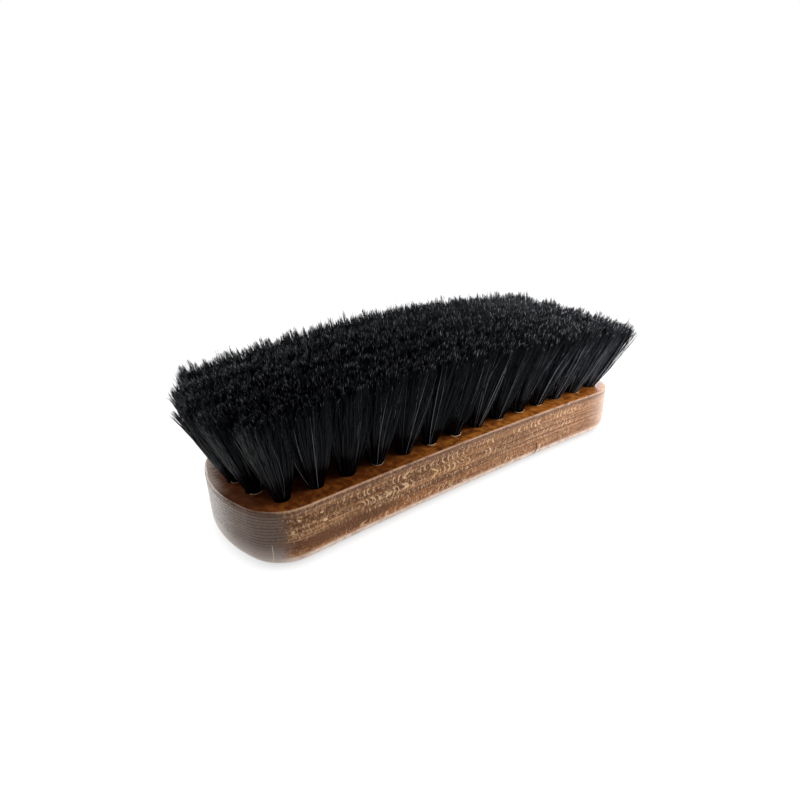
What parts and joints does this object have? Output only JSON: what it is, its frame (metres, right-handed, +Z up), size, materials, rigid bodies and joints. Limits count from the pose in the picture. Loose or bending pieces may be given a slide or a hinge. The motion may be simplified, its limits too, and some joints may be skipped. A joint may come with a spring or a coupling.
{
  "type": "shoe shine brush",
  "caption": "Shoe shine brush: waisted wooden block with rows of splayed blind holes, each holding a folded tuft of black hair on a wire anchor, trimmed to a low dome.",
  "frame": {"origin": "middle of the flat back of the block, which the brush lies on", "axes": "+X along the block, +Y across it away from the pictured side, +Z up through the bristles"},
  "size_m": [0.182, 0.0648, 0.0528],
  "materials": {
    "oiled_wood": "satin oil",
    "black_hair": "glossy natural hair",
    "anchor_wire": "drawn flat wire"
  },
  "bodies": {
    "root": {"wooden_block": "oiled_wood", "front_tuft_01": "black_hair", "front_tuft_02": "black_hair", "front_tuft_03": "black_hair", "front_tuft_04": "black_hair", "front_tuft_05": "black_hair", "front_tuft_06": "black_hair", "front_tuft_07": "black_hair", "front_tuft_08": "black_hair", "front_tuft_09": "black_hair", "front_tuft_10": "black_hair", "front_tuft_11": "black_hair", "front_tuft_12": "black_hair", "front_tuft_13": "black_hair", "front_tuft_14": "black_hair", "back_tuft_01": "black_hair", "back_tuft_02": "black_hair", "back_tuft_03": "black_hair", "back_tuft_04": "black_hair", "back_tuft_05": "black_hair", "back_tuft_06": "black_hair", "back_tuft_07": "black_hair", "back_tuft_08": "black_hair", "back_tuft_09": "black_hair", "back_tuft_10": "black_hair", "back_tuft_11": "black_hair", "back_tuft_12": "black_hair", "back_tuft_13": "black_hair", "back_tuft_14": "black_hair", "left_end_tuft_1": "black_hair", "left_end_tuft_2": "black_hair", "left_end_tuft_3": "black_hair", "right_end_tuft_1": "black_hair", "right_end_tuft_2": "black_hair", "right_end_tuft_3": "black_hair", "inner_tufts_column_01": "black_hair", "inner_tufts_column_02": "black_hair", "inner_tufts_column_03": "black_hair", "inner_tufts_column_04": "black_hair", "inner_tufts_column_05": "black_hair", "inner_tufts_column_06": "black_hair", "inner_tufts_column_07": "black_hair", "inner_tufts_column_08": "black_hair", "inner_tufts_column_09": "black_hair", "inner_tufts_column_10": "black_hair", "inner_tufts_column_11": "black_hair", "inner_tufts_column_12": "black_hair", "inner_tufts_column_13": "black_hair", "front_row_anchors": "anchor_wire", "front_inner_row_anchors": "anchor_wire", "middle_row_anchors": "anchor_wire", "back_inner_row_anchors": "anchor_wire", "back_row_anchors": "anchor_wire"}
  },
  "joints": []
}
